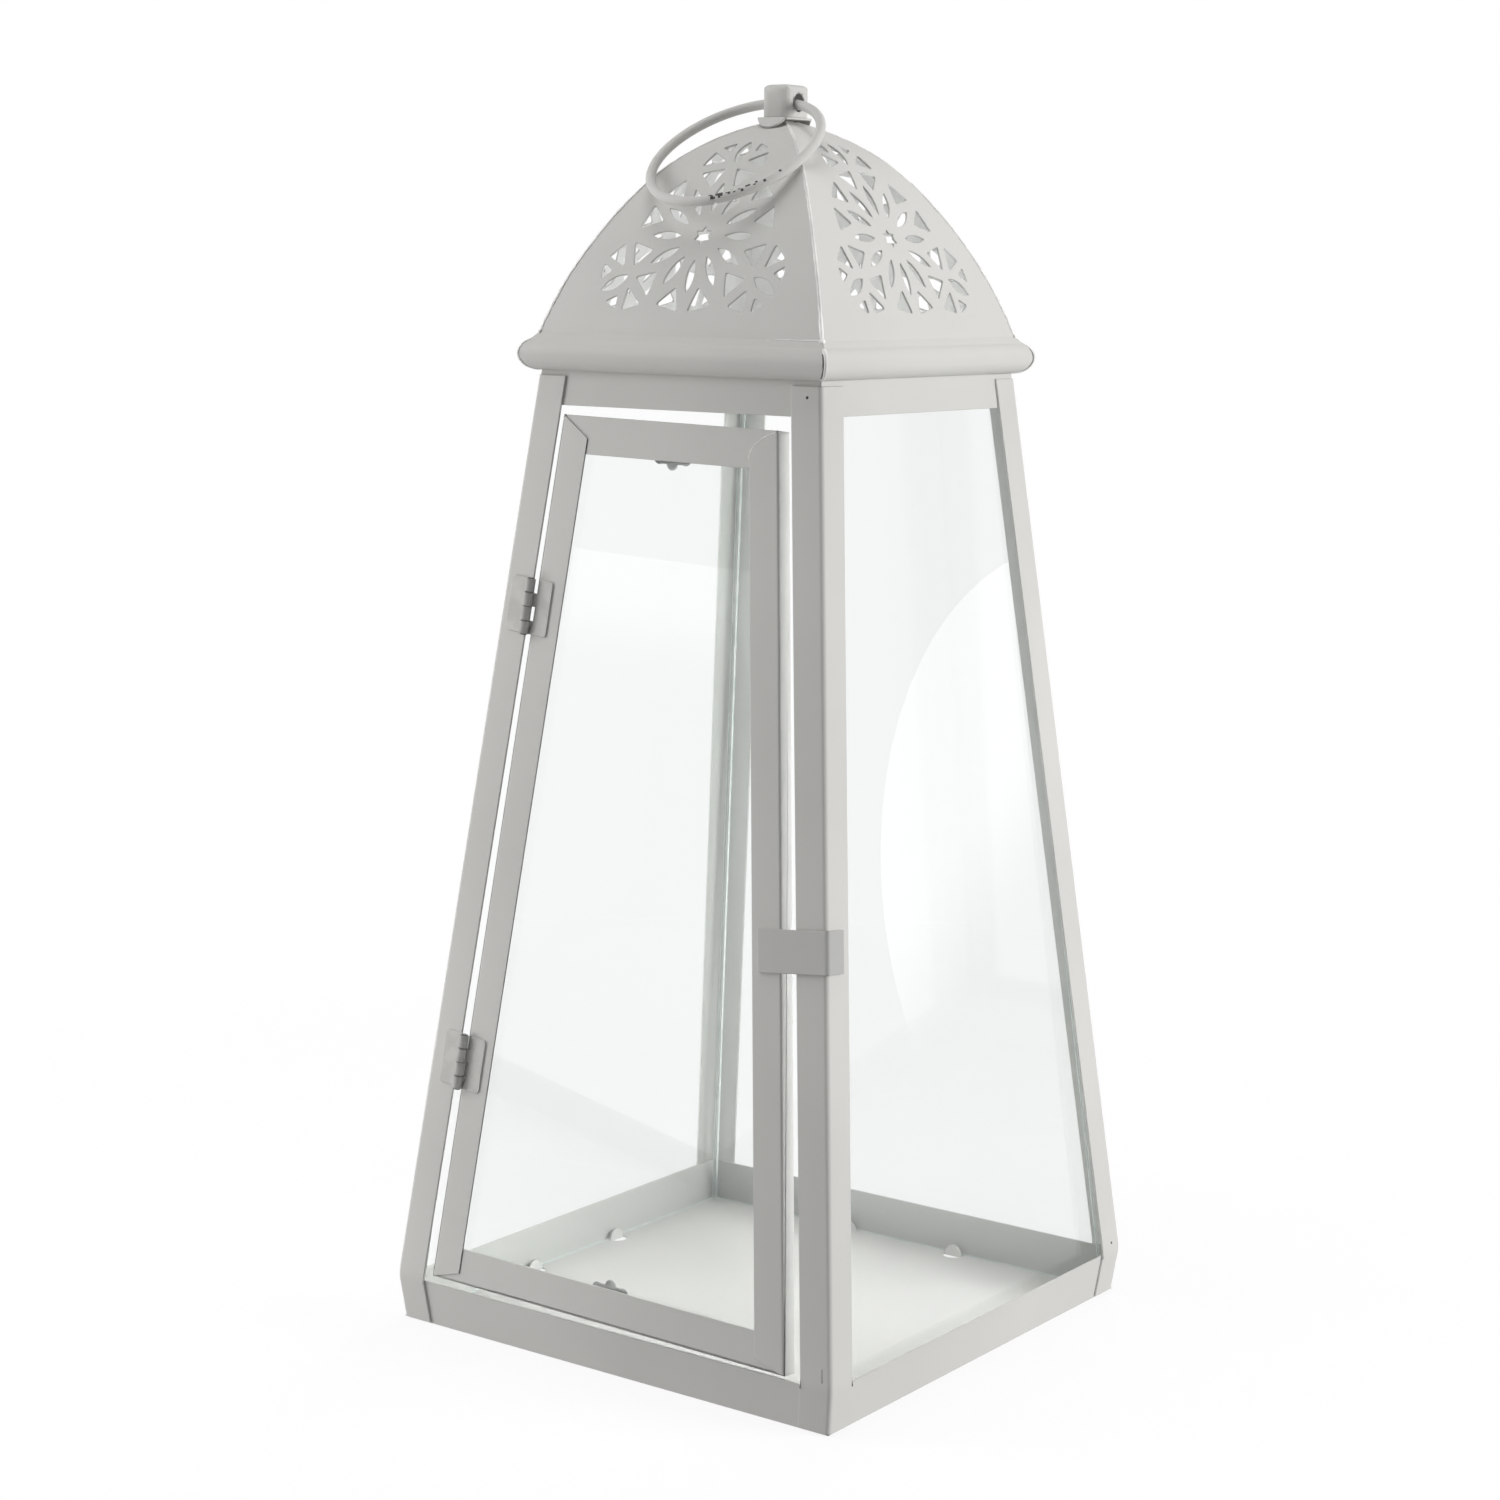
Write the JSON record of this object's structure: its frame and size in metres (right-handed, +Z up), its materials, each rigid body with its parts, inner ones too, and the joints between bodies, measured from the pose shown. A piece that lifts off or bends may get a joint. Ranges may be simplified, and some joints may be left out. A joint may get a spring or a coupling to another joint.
{
  "type": "candle lantern",
  "caption": "Tapered candle lantern with glazed sides, a hinged glazed front door with a hooked latch strip, a pierced domed roof and a carrying ring.",
  "frame": {"origin": "middle of the tray's underside, on the surface that the lantern stands on", "axes": "+Z up, -Y out through the door, +X towards the latch side"},
  "size_m": [0.17, 0.1701, 0.3922],
  "materials": {
    "painted_sheet": "satin warm grey paint on thin sheet steel",
    "clear_glass": "clear window glass with faintly green cut edges",
    "painted_wire": "satin warm grey paint on round wire"
  },
  "bodies": {
    "frame": {"base_tray": "painted_sheet", "corner_post_front_right": "painted_sheet", "corner_post_rear_right": "painted_sheet", "corner_post_rear_left": "painted_sheet", "corner_post_front_left": "painted_sheet", "glass_right": "clear_glass", "glass_rear": "clear_glass", "glass_left": "clear_glass", "pane_keepers": "painted_sheet", "roof_panel_front": "painted_sheet", "roof_panel_right": "painted_sheet", "roof_panel_rear": "painted_sheet", "roof_panel_left": "painted_sheet", "crown_plate": "painted_sheet", "crown_cap": "painted_sheet", "hinge_upper_post_leaf": "painted_sheet", "hinge_upper_pin": "painted_sheet", "hinge_lower_post_leaf": "painted_sheet", "hinge_lower_pin": "painted_sheet"},
    "door": {"door_stile_left": "painted_sheet", "door_stile_right": "painted_sheet", "door_rail_top": "painted_sheet", "door_rail_bottom": "painted_sheet", "door_glass": "clear_glass", "door_clip_top": "painted_sheet", "door_clip_bottom": "painted_sheet", "latch_strip": "painted_sheet", "hinge_upper_door_leaf": "painted_sheet", "hinge_lower_door_leaf": "painted_sheet"},
    "ring": {"carrying_ring": "painted_wire"}
  },
  "joints": [
    {"name": "door_hinge", "type": "hinge", "parent": "frame", "child": "door", "pos_m": [-0.06315, -0.07889, 0.0873], "axis": [-0.0934, -0.1081, -0.9897], "range_deg": [0, 180]},
    {"name": "ring_swing", "type": "hinge", "parent": "frame", "child": "ring", "pos_m": [-0.0016, 0, 0.38673], "axis": [-1, 0, 0], "range_deg": [0, 249]}
  ]
}
